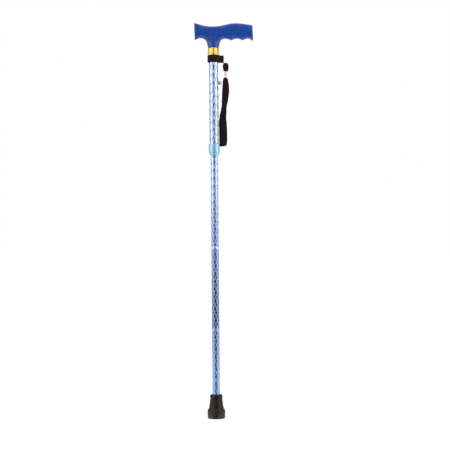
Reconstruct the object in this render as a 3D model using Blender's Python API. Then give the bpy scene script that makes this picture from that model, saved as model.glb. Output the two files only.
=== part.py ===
"""Telescopic folding walking stick.

The origin is the centre of the rubber foot's tread and +Z runs up the stick. The long end of the
handle and the snap button point along +X, and the wrist strap hangs on the same side. Heights and
radii below are in millimetres. They become metres where a mesh is made.
"""

import math

import bmesh
import bpy
from mathutils import Matrix, Vector

MM = 0.001
SIDES = 32
GAP = 0.3

# Upper tube and the inner tube that slides in it
UPPER_R = 10.0
UPPER_BORE = 9.0
UPPER_BOTTOM = 571.0
UPPER_TOP = 785.7
INNER_R = 7.6
INNER_BORE = 6.6
INNER_BOTTOM = 551.3
INNER_TOP = 735.0

# Height lock
BUTTON_R = 3.75
BUTTON_Z = 711.0
BUTTON_TIP = 17.0
BUTTON_BASE = 3.8
HOLE_PITCH = 19.05
HOLE_COUNT = 7

# Upper end of the cord, with heights above the inner tube's lower end
ANCHOR_X = 3.6
ANCHOR_Z = 64.7

# Lower sections
LOWER_R = 8.1
LOWER_BORE = 7.1
RING_R = 8.2
JOINT_1 = (547.0, 551.3)
JOINT_2 = (358.1, 363.3)
JOINT_3 = (187.0, 190.3)
LOWER_BOTTOM = 8.3
SPIGOT_UP = 41.7
SPIGOT_DOWN = 40.0

# Collar
COLLAR_R = 11.95
COLLAR_BORE = 11.05
COLLAR_BOTTOM = 557.2

# Handle
HANDLE_LEFT = -39.3
HANDLE_RIGHT = 84.2
HANDLE_HALF_DEPTH = 13.0
HANDLE_BOTTOM = 786.0
CORE_R = 8.0
PIN_Z = 778.0

# Wrist strap
STRAP_AZIMUTH = math.radians(20.3)
BAND_BOTTOM = 755.2
BAND_TOP = 769.7
TAB_END = 22.9
PIVOT_RADIUS = 20.9
PIVOT_Z = 756.7
THREAD_R = 0.35
LINK_X = 25.5
LINK_Y = 9.6
WEBBING = 1.3
LOOP_WIDTH = 15.2
TETHER_WIDTH = 11.6


def clear_scene():
    for obj in list(bpy.data.objects):
        bpy.data.objects.remove(obj, do_unlink=True)


def linear(red, green, blue):
    """Scene-linear colour of an sRGB colour given as 0 to 255."""
    shares = (channel / 255 for channel in (red, green, blue))
    return tuple(s / 12.92 if s <= 0.04045 else ((s + 0.055) / 1.055) ** 2.4 for s in shares)


def material(name, colour, roughness, metallic=0.0, transmission=0.0):
    found = bpy.data.materials.get(name)
    if found:
        return found
    made = bpy.data.materials.new(name)
    made.use_nodes = True
    shader = made.node_tree.nodes["Principled BSDF"]
    shader.inputs["Base Color"].default_value = (*linear(*colour), 1.0)
    shader.inputs["Roughness"].default_value = roughness
    shader.inputs["Metallic"].default_value = metallic
    shader.inputs["Transmission Weight"].default_value = transmission
    made.diffuse_color = (*linear(*colour), 1.0)
    return made


def blue_moulding():
    return material("blue moulding", (33, 70, 152), 0.35)


def polished_brass():
    return material("polished brass", (244, 222, 113), 0.2, 1.0)


def pale_blue_anodising():
    return material("pale blue anodising", (200, 222, 248), 0.25, 1.0)


def mid_blue_anodising():
    return material("mid blue anodising", (150, 178, 222), 0.28, 1.0)


def bright_aluminium():
    return material("bright aluminium", (222, 232, 245), 0.18, 1.0)


def spring_steel():
    return material("spring steel", (170, 172, 176), 0.3, 1.0)


def copper_button():
    return material("copper button", (200, 160, 125), 0.3, 1.0)


def blue_collar_plastic():
    return material("blue collar plastic", (170, 215, 245), 0.25, 0.0, 0.6)


def clear_plastic():
    return material("clear plastic", (238, 228, 228), 0.15, 0.0, 0.8)


def white_nylon():
    return material("white nylon", (232, 230, 222), 0.45)


def black_webbing():
    return material("black webbing", (40, 33, 31), 0.8)


def black_rubber():
    return material("black rubber", (48, 42, 40), 0.6)


def elastic_braid():
    return material("elastic braid", (225, 224, 218), 0.75)


def finish(name, mesh, look, parent, at):
    """The object of a closed mesh, shaded smooth, placed in millimetres under its parent."""
    bmesh.ops.recalc_face_normals(mesh, faces=mesh.faces)
    data = bpy.data.meshes.new(name)
    mesh.to_mesh(data)
    mesh.free()
    data.shade_smooth()
    data.set_sharp_from_angle(angle=math.radians(35))
    data.materials.append(look)
    obj = bpy.data.objects.new(name, data)
    bpy.context.scene.collection.objects.link(obj)
    obj.parent = parent
    obj.location = Vector(at) * MM
    return obj


def frame(name, parent, at):
    """An empty on a joint's axis, which carries the pieces that move together."""
    empty = bpy.data.objects.new(name, None)
    empty.empty_display_size = 0.02
    bpy.context.scene.collection.objects.link(empty)
    empty.parent = parent
    empty.location = Vector(at) * MM
    return empty


def cutter(name, mesh, parent, at):
    obj = finish(name, mesh, spring_steel(), parent, at)
    obj.hide_render = True
    obj.display_type = "WIRE"
    return obj


def combine(obj, tool, operation):
    change = obj.modifiers.new(tool.name, "BOOLEAN")
    change.operation = operation
    change.solver = "EXACT"
    change.object = tool


def turned_mesh(profile, sides=SIDES, axis="Z"):
    """A solid turned from (radius, height) points.

    They run once round its section, or from pole to pole.
    """
    mesh = bmesh.new()
    points = [mesh.verts.new((radius * MM, 0.0, height * MM)) for radius, height in profile]
    on_axis = profile[0][0] == 0 and profile[-1][0] == 0
    nexts = points[1:] if on_axis else points[1:] + points[:1]
    edges = [mesh.edges.new(pair) for pair in zip(points, nexts)]
    bmesh.ops.spin(
        mesh,
        geom=points + edges,
        cent=(0, 0, 0),
        axis=(0, 0, 1),
        angle=math.tau,
        steps=sides,
        use_merge=True,
        use_duplicate=False,
    )
    bmesh.ops.remove_doubles(mesh, verts=mesh.verts, dist=1e-7)
    if axis == "X":
        bmesh.ops.rotate(mesh, matrix=Matrix.Rotation(math.pi / 2, 3, "Y"), verts=mesh.verts)
    if axis == "Y":
        bmesh.ops.rotate(mesh, matrix=Matrix.Rotation(-math.pi / 2, 3, "X"), verts=mesh.verts)
    return mesh


def turned(name, profile, look, parent, at, sides=SIDES, axis="Z"):
    return finish(name, turned_mesh(profile, sides, axis), look, parent, at)


def pipe_profile(bore, radius, length, chamfer=0.0):
    if not chamfer:
        return [(bore, 0), (radius, 0), (radius, length), (bore, length)]
    return [
        (bore, 0),
        (radius - chamfer, 0),
        (radius, chamfer),
        (radius, length - chamfer),
        (radius - chamfer, length),
        (bore, length),
    ]


def rod_profile(radius, length, chamfer=0.2):
    return [
        (0, 0),
        (radius - chamfer, 0),
        (radius, chamfer),
        (radius, length - chamfer),
        (radius - chamfer, length),
        (0, length),
    ]


def drill(obj, name, radius, length, axis, parent, at, sides=24):
    """Cuts a round hole. It starts at the given point and runs along the axis."""
    bar = turned_mesh([(0, 0), (radius, 0), (radius, length), (0, length)], sides, axis)
    combine(obj, cutter(name, bar, parent, at), "DIFFERENCE")


def smooth(points, at):
    """Value of a smooth curve through (position, value) points with rising positions."""
    last = len(points) - 2
    i = max(0, min(last, sum(1 for p in points[1:-1] if p[0] <= at)))
    (x0, y0), (x1, y1) = points[i], points[i + 1]
    before = points[max(i - 1, 0)]
    after = points[min(i + 2, last + 1)]
    slope_0 = (y1 - before[1]) / (x1 - before[0])
    slope_1 = (after[1] - y0) / (after[0] - x0)
    step = x1 - x0
    t = max(0.0, min(1.0, (at - x0) / step))
    return (
        y0 * (2 * t**3 - 3 * t**2 + 1)
        + slope_0 * step * (t**3 - 2 * t**2 + t)
        + y1 * (3 * t**2 - 2 * t**3)
        + slope_1 * step * (t**3 - t**2)
    )


def lofted_mesh(sections):
    """A closed solid through sections that have one number of points each, in millimetres."""
    mesh = bmesh.new()
    rings = [[mesh.verts.new(Vector(point) * MM) for point in section] for section in sections]
    count = len(rings[0])
    for low, high in zip(rings, rings[1:]):
        for k in range(count):
            mesh.faces.new((low[k], low[(k + 1) % count], high[(k + 1) % count], high[k]))
    mesh.faces.new(rings[0])
    mesh.faces.new(rings[-1])
    return mesh


def handle_top(x):
    saddle = [(-40, 839.4), (-36, 838.2), (-30, 835.9), (-22, 833.4), (-10, 831.4), (2, 831.1)]
    rise = [(12, 832.1), (24.6, 834.4), (38, 837), (50, 837.5)]
    fall = [(60, 836.9), (70, 835.4), (78, 833.9), (85, 832.1)]
    return smooth(saddle + rise + fall, x)


def handle_underside(x):
    """Three finger grooves on the long end and one on the short end, with ridges between them."""
    long_end = [(13.5, 37.8, 801.3, 3.5), (37.8, 62.1, 801.3, 3.5), (62.1, 84.4, 801.3, 3.5)]
    for start, end, base, depth in [(-39.6, -15.5, 801.8, 4.7), *long_end]:
        if start <= x <= end:
            corner = max(0.0, (x - 73.5) / 10.7) ** 2 * 1.6
            return base + depth * math.sin(math.pi * (x - start) / (end - start)) - corner
    return 802.5


def bar_section(x, inset, points=18, power=2.8):
    """Rounded section of the handle at x. The end faces lean a little, as in the outline."""
    top = handle_top(x) - inset
    bottom = handle_underside(x) + inset
    depth = HANDLE_HALF_DEPTH - inset - 0.8 * (abs(x - 20) / 64) ** 2
    lean_left = 0.036 * max(0.0, (-27 - x) / 12.3)
    lean_right = 0.042 * max(0.0, (x - 70) / 14.2)
    ring = []
    for k in range(points):
        angle = math.tau * k / points
        across, up = math.cos(angle), math.sin(angle)
        y = depth * math.copysign(abs(across) ** (2 / power), across)
        z = (top + bottom) / 2 + (top - bottom) / 2 * math.copysign(abs(up) ** (2 / power), up)
        ring.append((x - (lean_left + lean_right) * (z - 803), y, z - HANDLE_BOTTOM))
    return ring


def neck_section(z, points=28):
    """Oval section of the neck, which flares into the underside of the handle."""
    base = [(786, 11.8), (789.5, 12.3), (792, 12.8), (794, 13.3), (796, 13.9), (798, 14.7)]
    flare = [(800.3, 16.1), (802.4, 17.7), (804.5, 20.0), (806.6, 23.0), (808.5, 25.5), (814, 27)]
    half_width = smooth(base + flare, z)
    half_depth = smooth([(786, 11.8), (792, 12.1), (800, 12.4), (807, 12.6), (814, 12.2)], z)
    turns = [math.tau * k / points for k in range(points)]
    return [(half_width * math.cos(a), half_depth * math.sin(a), z - HANDLE_BOTTOM) for a in turns]


def handle_grip(parent):
    """Moulded handle: a bar along X joined to its neck, with a socket for the core."""
    stations = [HANDLE_LEFT + (HANDLE_RIGHT - HANDLE_LEFT) * k / 34 for k in range(1, 34)]
    sections = [bar_section(HANDLE_LEFT, 1.3), bar_section(HANDLE_LEFT + 0.9, 0.25)]
    sections += [bar_section(x, 0.0) for x in stations]
    sections += [bar_section(HANDLE_RIGHT - 0.9, 0.25), bar_section(HANDLE_RIGHT, 1.3)]
    base = (0, 0, HANDLE_BOTTOM)
    grip = finish("handle_grip", lofted_mesh(sections), blue_moulding(), parent, base)
    heights = [786, 789, 792, 794, 796, 798, 799.5, 801, 802.5, 804, 805.5, 807, 810, 814]
    neck = lofted_mesh([neck_section(z) for z in heights])
    combine(grip, cutter("handle_neck_form", neck, parent, base), "UNION")
    below = (0, 0, HANDLE_BOTTOM - 2)
    drill(grip, "handle_bore_form", CORE_R + GAP, 28.2, "Z", parent, below, 40)
    return grip


def handle_core(parent):
    """Hollow plug, wide in the tube and narrow in the handle."""
    wide = UPPER_BORE - 0.2
    base = 757.0
    profile = [
        (4.5, 0),
        (wide - 0.6, 0),
        (wide, 0.6),
        (wide, UPPER_TOP - base),
        (CORE_R, UPPER_TOP - base),
        (CORE_R, 54.0),
        (CORE_R - 0.8, 54.9),
        (4.5, 54.9),
    ]
    core = turned("handle_core", profile, white_nylon(), parent, (0, 0, base))
    drill(core, "core_pin_form", 1.8, 24, "Y", parent, (0, -12, PIN_Z))
    return core


def handle_pin(parent):
    """Cross pin through the tube and the core, under the brass ring."""
    rod = rod_profile(1.5, 19.4)
    return turned("handle_pin", rod, spring_steel(), parent, (0, -9.7, PIN_Z), 24, "Y")


def brass_ring(parent):
    """Ring under the handle, with a rolled lower edge."""
    profile = [
        (10.2, 0),
        (11.9, 0),
        (12.5, 0.8),
        (12.5, 3.2),
        (11.85, 4.4),
        (11.85, 15.2),
        (11.4, 15.7),
        (10.2, 15.7),
    ]
    return turned("brass_ring", profile, polished_brass(), parent, (0, 0, 770.0), 40)


def upper_tube(parent):
    """Outer tube with the row of button holes and the pin's two holes."""
    wall = pipe_profile(UPPER_BORE, UPPER_R, UPPER_TOP - UPPER_BOTTOM)
    tube = turned("upper_tube", wall, pale_blue_anodising(), parent, (0, 0, UPPER_BOTTOM))
    for k in range(HOLE_COUNT):
        height = BUTTON_Z - k * HOLE_PITCH
        drill(tube, f"button_hole_form_{k + 1}", BUTTON_R + GAP, 12, "X", parent, (4, 0, height))
    drill(tube, "tube_pin_form", 1.8, 24, "Y", parent, (0, -12, PIN_Z))
    return tube


def split_bush(parent):
    """Bush glued on the tube's end: it grips the wall on both sides and ends in six fingers."""
    profile = [
        (7.85, 562.3),
        (8.5, 562.3),
        (9.05, 567.3),
        (10.75, 567.3),
        (10.75, 580.0),
        (UPPER_R + 0.2, 580.0),
        (UPPER_R + 0.2, UPPER_BOTTOM - GAP),
        (UPPER_BORE - 0.2, UPPER_BOTTOM - GAP),
        (UPPER_BORE - 0.2, 584.0),
        (7.85, 584.0),
    ]
    local = [(radius, height - 562.3) for radius, height in profile]
    bush = turned("split_bush", local, white_nylon(), parent, (0, 0, 562.3))
    for k in range(3):
        mesh = bmesh.new()
        bmesh.ops.create_cube(mesh, size=1.0)
        bmesh.ops.scale(mesh, vec=(24 * MM, 1.0 * MM, 8 * MM), verts=mesh.verts)
        bmesh.ops.rotate(mesh, matrix=Matrix.Rotation(math.pi * k / 3, 3, "Z"), verts=mesh.verts)
        slot = cutter(f"bush_slot_form_{k + 1}", mesh, parent, (0, 0, 562.2))
        combine(bush, slot, "DIFFERENCE")
    return bush


def squeeze_ring(parent, base):
    """Cone ring between the collar and the bush's fingers."""
    profile = [
        (8.05, 559.9),
        (8.45, 559.9),
        (10.6, 564.2),
        (10.6, 566.9),
        (9.5, 566.9),
        (8.95, 561.9),
        (8.05, 561.0),
    ]
    local = [(radius, height - base) for radius, height in profile]
    return turned("squeeze_ring", local, white_nylon(), parent, (0, 0, 0))


def lock_collar(parent):
    """Screw collar that covers the bush and clamps the inner tube."""
    profile = [
        (7.95, 557.2),
        (8.7, 557.2),
        (11.7, 563.4),
        (COLLAR_R, 564.3),
        (COLLAR_R, 580.7),
        (11.5, 581.4),
        (COLLAR_BORE, 581.4),
        (COLLAR_BORE, 564.4),
        (7.95, 558.2),
    ]
    local = [(radius, height - COLLAR_BOTTOM) for radius, height in profile]
    return turned("lock_collar", local, blue_collar_plastic(), parent, (0, 0, 0), 40)


def inner_tube(parent):
    """Inner tube with the button's hole and the anchor pin's two holes."""
    wall = pipe_profile(INNER_BORE, INNER_R, INNER_TOP - INNER_BOTTOM)
    tube = turned("inner_tube", wall, pale_blue_anodising(), parent, (0, 0, 0))
    drill(tube, "inner_hole_form", BUTTON_R + GAP, 8, "X", parent, (3, 0, BUTTON_Z - INNER_BOTTOM))
    drill(tube, "inner_pin_form", 1.1, 18, "Y", parent, (ANCHOR_X, -9, ANCHOR_Z), 16)
    return tube


def glide_ring(parent):
    """Nylon cap ring that keeps the inner tube's top centred in the upper tube."""
    profile = [
        (INNER_R + 0.2, 0),
        (8.6, 0),
        (8.75, 0.3),
        (8.75, 14.7),
        (8.5, 15.0),
        (6.7, 15.0),
        (6.7, 13.3),
        (INNER_R + 0.2, 13.3),
    ]
    return turned("glide_ring", profile, white_nylon(), parent, (0, 0, 722.0 - INNER_BOTTOM))


def button_spring(parent):
    """V of flat spring steel: one leg behind the button, the other on the far side of the bore."""
    button_leg = [(3.25, 7.0), (3.25, -6.5), (0.6, -23.0), (-0.9, -27.2)]
    far_leg = [(-2.3, -26.6), (-5.25, -8.0), (-5.3, 7.0)]
    legs = button_leg + far_leg
    mesh = bmesh.new()
    outer = []
    inner = []
    for k, (x, z) in enumerate(legs):
        before = Vector(legs[max(k - 1, 0)])
        after = Vector(legs[min(k + 1, len(legs) - 1)])
        along = (after - before).normalized()
        side = Vector((-along.y, along.x)) * 0.25
        outer.append((x + side.x, z + side.y))
        inner.append((x - side.x, z - side.y))
    outline = [mesh.verts.new((x * MM, -3.0 * MM, z * MM)) for x, z in outer + inner[::-1]]
    face = mesh.faces.new(outline)
    grown = bmesh.ops.extrude_face_region(mesh, geom=[face])
    moved = [part for part in grown["geom"] if isinstance(part, bmesh.types.BMVert)]
    bmesh.ops.translate(mesh, vec=(0, 6.0 * MM, 0), verts=moved)
    return finish("button_spring", mesh, spring_steel(), parent, (0, 0, BUTTON_Z - INNER_BOTTOM))


def snap_button(parent):
    """Button with a flange behind the tube's wall and a domed tip."""
    reach = BUTTON_TIP - BUTTON_BASE
    turns = [math.radians(18 * k) for k in range(5)]
    dome = [(BUTTON_R * math.cos(a), reach - 1.8 + 1.8 * math.sin(a)) for a in turns]
    profile = [(0, 0), (4.5, 0), (4.5, 0.8), (BUTTON_R, 0.8), *dome, (0, reach)]
    return turned("snap_button", profile, copper_button(), parent, (0, 0, 0), 28, "X")


def anchor_plug(parent):
    """Plug in the inner tube that the cord's upper stop rests on."""
    wall = pipe_profile(2.0, 6.35, 11.7)
    plug = turned("anchor_plug", wall, white_nylon(), parent, (0, 0, ANCHOR_Z - 6.0), 28)
    drill(plug, "plug_pin_form", 1.1, 18, "Y", parent, (ANCHOR_X, -9, ANCHOR_Z), 16)
    return plug


def anchor_pin(parent):
    """Cross pin beside the cord that keeps the plug in the inner tube."""
    rod = rod_profile(0.8, 12.0, 0.1)
    return turned("anchor_pin", rod, spring_steel(), parent, (ANCHOR_X, -6.0, ANCHOR_Z), 16, "Y")


def cord_stop(name, parent, height):
    """Crimped sleeve on an end of the cord."""
    profile = [(1.9, 0), (3.3, 0), (3.3, 1.9), (2.8, 2.45), (3.3, 3.0), (3.3, 4.9), (1.9, 4.9)]
    return turned(name, profile, bright_aluminium(), parent, (0, 0, height), 16)


def elastic_cord(parent):
    """Cord through all the lower sections that pulls them together."""
    rod = rod_profile(1.6, 626.9 - 9.6)
    return turned("elastic_cord", rod, elastic_braid(), parent, (0, 0, 9.6 - INNER_BOTTOM), 12)


def lower_tube(name, parent, bottom, top, origin, look):
    wall = pipe_profile(LOWER_BORE, LOWER_R, top - bottom)
    return turned(name, wall, look, parent, (0, 0, bottom - origin))


def joint_ring(name, parent, joint, bore):
    """Plain bright ring between two tube ends."""
    low, high = joint
    wall = pipe_profile(bore, RING_R, high - low - 2 * GAP, 0.3)
    return turned(name, wall, bright_aluminium(), parent, (0, 0, GAP))


def spigot(name, parent, upper_r, bore):
    """Tube fixed in the section below the joint, which enters the section above."""
    fixed_r = LOWER_BORE - 0.25
    profile = [
        (bore, -SPIGOT_DOWN),
        (fixed_r - 0.3, -SPIGOT_DOWN),
        (fixed_r, -SPIGOT_DOWN + 0.4),
        (fixed_r, 0),
        (upper_r, 0),
        (upper_r, SPIGOT_UP + 1.5),
        (upper_r - 0.6, SPIGOT_UP + 4.3),
        (bore, SPIGOT_UP + 4.3),
    ]
    if upper_r == fixed_r:
        profile.pop(3)
        profile.pop(3)
    return turned(name, profile, bright_aluminium(), parent, (0, 0, 0), 28)


def end_plug(parent, origin):
    """Plug at the foot that the cord's lower stop pulls against."""
    wall = pipe_profile(2.1, LOWER_BORE - 0.25, 12.5)
    return turned("end_plug", wall, white_nylon(), parent, (0, 0, 14.5 - origin), 28)


def ferrule_washer(parent, origin):
    """Steel disc in the foot, which the tube's end stands on."""
    return turned("ferrule_washer", rod_profile(7.9, 1.5), spring_steel(), parent, (0, 0, 6.5 - origin))


def ferrule(parent, origin):
    """Rubber foot: grooved tread, wide flange, tapered socket and a thick rim."""
    tread = [(0, 0), (7.0, 0), (7.6, 1.5), (9.4, 1.5), (10.0, 0), (12.2, 0), (12.8, 1.5)]
    edge = [(14.4, 1.5), (15.0, 0), (17.2, 0), (18.0, 1.2)]
    flange = [(18.3, 14.5), (18.0, 17.8), (15.9, 20.8), (15.1, 23.0)]
    rim = [(12.9, 42.5), (13.3, 45.5), (13.2, 47.8), (12.2, 50.3), (10.7, 51.2), (9.4, 50.8), (8.35, 48.8)]
    socket = [(8.35, 6.2), (0, 6.2)]
    outline = tread + edge + flange + rim + socket
    return turned("ferrule", outline, black_rubber(), parent, (0, 0, -origin), 40)


def strap_band(parent):
    """Elastic band round the tube, its two ends laid together and sewn as a tab."""
    outer = 12.9
    half_tab = 1.8
    start = math.radians(34)
    arc = [start + (math.tau - 2 * start) * k / 44 for k in range(45)]
    end = [(TAB_END, half_tab - 0.5), (TAB_END - 0.5, half_tab)]
    side = [*end, (16.4, half_tab), (14.4, 2.5), (12.6, 4.3)]
    outline = [(outer * math.cos(a), outer * math.sin(a)) for a in arc]
    outline += [(x, -y) for x, y in reversed(side)] + side
    mesh = bmesh.new()
    face = mesh.faces.new([mesh.verts.new((x * MM, y * MM, 0)) for x, y in outline])
    grown = bmesh.ops.extrude_face_region(mesh, geom=[face])
    moved = [part for part in grown["geom"] if isinstance(part, bmesh.types.BMVert)]
    bmesh.ops.translate(mesh, vec=(0, 0, (BAND_TOP - BAND_BOTTOM) * MM), verts=moved)
    band = finish("strap_band", mesh, black_webbing(), parent, (0, 0, 0))
    band.rotation_euler.z = STRAP_AZIMUTH
    drill(band, "band_bore_form", UPPER_R + GAP, 20, "Z", parent, (0, 0, -2), SIDES)
    thread_eye(band, "band_eye_form", parent, pivot_point() - Vector((0, 0, BAND_BOTTOM)))
    return band


def thread_eye(obj, name, parent, at):
    """Cuts the small eye that the thread passes through, along the tube's tangent."""
    bar = turned_mesh([(0, -6), (0.75, -6), (0.75, 6), (0, 6)], 16, "Y")
    bmesh.ops.rotate(bar, matrix=Matrix.Rotation(STRAP_AZIMUTH, 3, "Z"), verts=bar.verts)
    combine(obj, cutter(name, bar, parent, at), "DIFFERENCE")


def pivot_point():
    """Where the thread passes through the eye in the tab's lower corner."""
    x, y = PIVOT_RADIUS * math.cos(STRAP_AZIMUTH), PIVOT_RADIUS * math.sin(STRAP_AZIMUTH)
    return Vector((x, y, PIVOT_Z))


def webbing_loop(stations, per_leg):
    """A flat loop of webbing whose two legs hang face to face.

    Each station is (height, x, y, turn, half gap between the legs, their shift across, width), from
    the top down.
    """
    rising = sorted(stations)
    high, low = stations[0][0], stations[-1][0]

    def spot(height):
        return [smooth([(row[0], row[column]) for row in rising], height) for column in range(1, 7)]

    def ring(height, up, out):
        x, y, turn, half_gap, shift, width = spot(height)
        angle = math.radians(turn)
        across = Vector((math.cos(angle), math.sin(angle), 0))
        away = Vector((-across.y, across.x, 0))
        face = away * out + Vector((0, 0, up))
        offset = (away * half_gap + across * shift) * out + Vector((0, 0, half_gap * up))
        centre = Vector((x, y, height)) + offset
        thick = face.normalized() * WEBBING / 2
        reach = across * width / 2 * (1 - 0.18 * abs(up))
        upper, lower = centre + thick, centre - thick
        return [upper - reach, upper + reach, lower + reach, lower - reach]

    down = [high + (low - high) * k / per_leg for k in range(per_leg + 1)]
    bend = [math.pi * k / 8 for k in range(1, 8)]
    rings = [ring(height, 0.0, 1.0) for height in down]
    rings += [ring(low, -math.sin(a), math.cos(a)) for a in bend]
    rings += [ring(height, 0.0, -1.0) for height in reversed(down)]
    rings += [ring(high, math.sin(a), -math.cos(a)) for a in bend]
    mesh = bmesh.new()
    corners = [[mesh.verts.new(point * MM) for point in four] for four in rings]
    for here, there in zip(corners, corners[1:] + corners[:1]):
        for k in range(4):
            mesh.faces.new((here[k], here[(k + 1) % 4], there[(k + 1) % 4], there[k]))
    return mesh


def tether_loop(parent, pivot):
    """Short webbing fold under the tab.

    The link cord leaves through its lower bend, and the thread passes through its upper corner.
    """
    x, y = LINK_X - pivot.x, LINK_Y - pivot.y
    stations = [
        (752.3, x, y, 10, 1.65, 0, 10.8),
        (749.0, x + 0.1, y, 10, 1.9, 0, TETHER_WIDTH),
        (745.5, x + 0.1, y, 10, 2.3, 0, 11.2),
        (742.5, x + 0.1, y, 10, 2.55, 0, 10.2),
        (740.5, x, y, 10, 2.65, 0, 9.4),
    ]
    local = [(row[0] - pivot.z, *row[1:]) for row in stations]
    tether = finish("tether_loop", webbing_loop(local, 7), black_webbing(), parent, (0, 0, 0))
    drill(tether, "tether_eye_form", 1.25, 4, "Z", parent, (x, y, 735.5 - pivot.z), 16)
    thread_eye(tether, "thread_eye_form", parent, thread_reach())
    return tether


def thread_reach():
    """From the thread's eye in the tab to its eye in the tether."""
    outwards = Vector((math.cos(STRAP_AZIMUTH), math.sin(STRAP_AZIMUTH), 0))
    return outwards * 4.0 + Vector((0, 0, -5.1))


def tether_thread(parent):
    """Closed loop of thread through the eyes in the tab's and the tether's corners."""
    along = Vector((-math.sin(STRAP_AZIMUTH), math.cos(STRAP_AZIMUTH), 0))
    reach = thread_reach()
    down = reach.normalized()
    half, corner, offset = 3.1, 0.8, 0.5
    corners = [(half, 0, 270), (half, reach.length, 0), (-half, reach.length, 90), (-half, 0, 180)]
    path = []
    for across, drop, start in corners:
        middle_x = across - math.copysign(corner, across)
        middle_y = corner if drop == 0 else drop - corner
        for k in range(4):
            a = math.radians(start + 30 * k)
            x = middle_x + corner * math.cos(a) + offset
            path.append(along * x + down * (middle_y + corner * math.sin(a)))
    flat = along.cross(down)
    mesh = bmesh.new()
    rings = []
    for before, spot, after in zip(path[-1:] + path[:-1], path, path[1:] + path[:1]):
        side = (after - before).normalized().cross(flat)
        turns = [math.tau * k / 8 for k in range(8)]
        ring = [spot + (flat * math.cos(a) + side * math.sin(a)) * THREAD_R for a in turns]
        rings.append([mesh.verts.new(point * MM) for point in ring])
    for here, there in zip(rings, rings[1:] + rings[:1]):
        for k in range(8):
            mesh.faces.new((here[k], here[(k + 1) % 8], there[(k + 1) % 8], there[k]))
    return finish("tether_thread", mesh, black_webbing(), parent, (0, 0, 0))


def link_cord(parent):
    """Clear cord with a round knot inside each webbing fold."""
    low = [(0, -4.9), (1.0, -4.7), (1.7, -3.7), (1.7, -2.9), (1.0, -1.9), (0.9, -1.5)]
    high = [(0.9, 15.9), (1.0, 16.3), (1.7, 17.3), (1.7, 18.1), (1.0, 19.1), (0, 19.3)]
    return turned("link_cord", low + high, clear_plastic(), parent, (0, 0, 0), 12)


def clear_sleeve(parent):
    wall = pipe_profile(1.3, 3.2, 13.2, 0.4)
    return turned("clear_sleeve", wall, clear_plastic(), parent, (0, 0, 0.6), 24)


def wrist_loop(parent, origin):
    """Long webbing loop beside the tube, gathered at the link and turned edgewise in its middle."""
    wide = LOOP_WIDTH
    y = LINK_Y
    stations = [
        (719.6, 25.3, y, -6, 2.65, 0, 10.4),
        (713.0, 25.3, y, -6, 2.3, 0, 12.0),
        (705.0, 25.5, y, -5, 1.8, 0, 14.0),
        (696.5, 25.1, y, -6, 1.4, 0, 14.8),
        (690.0, 24.7, y, -24, 1.4, 0, wide),
        (682.0, 23.8, y, -41, 1.4, 0, wide),
        (674.0, 22.9, y, -49, 1.4, 0, wide),
        (662.5, 21.4, y, -64, 1.4, 0, wide),
        (653.0, 20.0, y, -51, 1.4, 0, wide),
        (643.0, 18.9, y, -34, 1.4, -0.3, wide),
        (634.0, 18.2, y, -16, 1.4, -0.9, wide),
        (620.0, 18.4, y, -8, 1.4, -1.2, wide),
        (607.0, 18.8, y, -6, 1.4, -1.3, wide),
        (594.0, 18.9, y, -6, 1.4, -0.9, wide),
        (580.2, 18.4, y, -6, 1.5, -0.5, 14.2),
    ]
    local = [(row[0] - origin.z, row[1] - origin.x, row[2] - origin.y, *row[3:]) for row in stations]
    loop = finish("wrist_loop", webbing_loop(local, 36), black_webbing(), parent, (0, 0, 0))
    drill(loop, "loop_eye_form", 1.25, 4, "Z", parent, (0, 0, 720.5 - origin.z), 16)
    return loop


def build_upper_assembly():
    body = frame("upper_assembly", None, (0, 0, 0))
    handle_grip(body)
    handle_core(body)
    handle_pin(body)
    brass_ring(body)
    upper_tube(body)
    split_bush(body)
    return body


def build_collar(upper):
    ring = frame("squeeze_ring_frame", upper, (0, 0, COLLAR_BOTTOM))
    squeeze_ring(ring, COLLAR_BOTTOM)
    turn = frame("lock_collar_frame", ring, (0, 0, 0))
    lock_collar(turn)


def build_height_tube(upper):
    body = frame("height_tube_frame", upper, (0, 0, INNER_BOTTOM))
    inner_tube(body)
    glide_ring(body)
    button_spring(body)
    anchor_plug(body)
    anchor_pin(body)
    cord_stop("cord_stop_top", body, 622.0 - INNER_BOTTOM)
    elastic_cord(body)
    button = frame("button_frame", body, (BUTTON_BASE, 0, BUTTON_Z - INNER_BOTTOM))
    snap_button(button)
    return body


def build_lower_sections(height):
    second = frame("section_2_frame", height, (0, 0, JOINT_1[0] - INNER_BOTTOM))
    joint_ring("joint_ring_1", second, JOINT_1, INNER_BORE - 0.05)
    lower_tube("tube_2", second, JOINT_2[1], JOINT_1[0], JOINT_1[0], pale_blue_anodising())
    spigot("spigot_1", second, INNER_BORE - GAP, 5.3)
    third = frame("section_3_frame", second, (0, 0, JOINT_2[0] - JOINT_1[0]))
    joint_ring("joint_ring_2", third, JOINT_2, LOWER_BORE)
    lower_tube("tube_3", third, JOINT_3[1], JOINT_2[0], JOINT_2[0], mid_blue_anodising())
    spigot("spigot_2", third, LOWER_BORE - 0.25, 5.9)
    fourth = frame("section_4_frame", third, (0, 0, JOINT_3[0] - JOINT_2[0]))
    joint_ring("joint_ring_3", fourth, JOINT_3, LOWER_BORE)
    lower_tube("tube_4", fourth, LOWER_BOTTOM, JOINT_3[0], JOINT_3[0], mid_blue_anodising())
    spigot("spigot_3", fourth, LOWER_BORE - 0.25, 5.9)
    end_plug(fourth, JOINT_3[0])
    cord_stop("cord_stop_bottom", fourth, 9.3 - JOINT_3[0])
    ferrule_washer(fourth, JOINT_3[0])
    ferrule(fourth, JOINT_3[0])


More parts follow.
